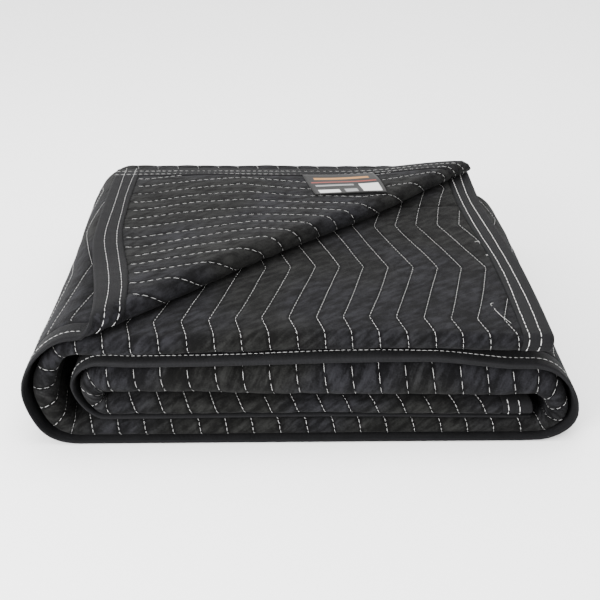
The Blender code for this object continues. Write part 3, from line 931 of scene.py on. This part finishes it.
# Camera at the photo's angle
PIXELS, FOCAL_PIXELS, SENSOR = 600, 1090.0, 36.0
CAMERA_AT, PITCH, YAW = (-0.011, -0.878, 0.576), 26.02, 0.79
lens = bpy.data.cameras.new("camera")
lens.sensor_width = SENSOR
lens.lens = FOCAL_PIXELS / PIXELS * SENSOR
camera = add("camera", lens)
camera.location = np.array(CAMERA_AT) + SHIFT
camera.rotation_euler = (math.radians(90 - PITCH), 0.0, math.radians(-YAW))
bpy.context.scene.camera = camera

# The pieces
pad = make_pad()
felt_finish, tape_finish = felt(), tape()
finish_piece(pad, felt_finish, "quilted_pad")

long_way = columns()
short_way = [BINDING + CLEAR] + inner_rows() + [WIDTH - BINDING - CLEAR]
# name, node it replaces, stations, where a station at a distance from the edge lies
BINDINGS = (
    ("front_tape", "front_edge_binding", long_way, lambda s, d: (follow(s, d), d)),
    ("inner_tape", "inner_edge_binding", long_way, lambda s, d: (follow(s, WIDTH - d), WIDTH - d)),
    ("top_end_tape", "top_end_binding", short_way, along_top_end),
    ("inner_end_tape", "inner_end_binding", short_way, along_inner_end),
)
for name, replaced, stations, place_at in BINDINGS:
    strip = make_binding(name, stations, place_at)
    finish_piece(strip, tape_finish, replaced)
label = make_label()
finish_piece(label, label_print(), "label")

SIDEWAYS = math.pi / 2
# name, length of a row, how it lies, its heading, side, where it shows, seam, rows
TAPE_STITCHING = (
    ("tape_stitching_front", LENGTH, along_front, 0.0, 1, front_shows, TAPE_SEAM, TAPE_ROWS[:1]),
    ("tape_stitching_turned", LENGTH, along_front, 0.0, -1, turned_front_shows, TURNED_TAPE_SEAM, TAPE_ROWS),
    ("tape_stitching_end", WIDTH, along_top_end, SIDEWAYS, 1, end_shows, HEAVY_SEAM, TAPE_ROWS),
    ("tape_stitching_back", WIDTH, along_top_end, SIDEWAYS, -1, turned_end_shows, BACK_SEAM, TAPE_ROWS),
    ("tape_stitching_far", WIDTH, along_inner_end, SIDEWAYS, 1, far_end_shows, HEAVY_SEAM, TAPE_ROWS),
)
outer_rows = quilting(1, shows_outer, OUTER_SEAM)
half = len(outer_rows) // 2
seams = [
    ("quilting_outer_a", outer_rows[:half], OUTER_SEAM),
    ("quilting_outer_b", outer_rows[half:], OUTER_SEAM),
    ("quilting_under", quilting(-1, shows_under, UNDER_SEAM), UNDER_SEAM),
]
for name, end, place_at, heading, side, shows, seam, rows_at in TAPE_STITCHING:
    seams.append((name, tape_rows(end, place_at, heading, side, shows, seam, rows_at), seam))
seams.append(("loose_ends", loose_ends(), LOOSE_THREAD))

white = thread("white_thread", THREAD_WHITE)
for name, found, seam in seams:
    sewn = make_stitches(name, found, seam[0])
    finish_piece(sewn, white)

# Floor and soft studio light
FLOOR_SIZE, WORLD_STRENGTH = 8.0, 2.6
# name, place, aim, size, power
LIGHTS = (
    ("overhead_softbox", (0.0, 0.1, 1.8), (0.0, 0.0, 0.05), 1.4, 34.0),
    ("front_left_softbox", (-1.3, -1.7, 0.70), (-0.05, -0.15, 0.06), 1.1, 150.0),
)
floor_mesh = bpy.data.meshes.new("studio_floor")
bm = bmesh.new()
bmesh.ops.create_grid(bm, x_segments=1, y_segments=1, size=FLOOR_SIZE)
bm.to_mesh(floor_mesh)
bm.free()
floor = add("studio_floor", floor_mesh)
paper, _, _ = material("studio_paper", {"Base Color": PAPER_WHITE, "Roughness": 0.9})
floor_mesh.materials.append(paper)

world = bpy.data.worlds.new("studio")
bpy.context.scene.world = world
world.use_nodes = True
background = world.node_tree.nodes["Background"]
background.inputs["Color"].default_value = (1.0, 1.0, 1.0, 1.0)
background.inputs["Strength"].default_value = WORLD_STRENGTH

for name, at, aim, size, power in LIGHTS:
    light = bpy.data.lights.new(name, "AREA")
    light.size = size
    light.energy = power
    lamp = add(name, light)
    lamp.location = at
    x, y, z = np.array(aim) - np.array(at)
    lamp.rotation_euler = (math.atan2(math.hypot(x, y), -z), 0.0, math.atan2(-x, y))
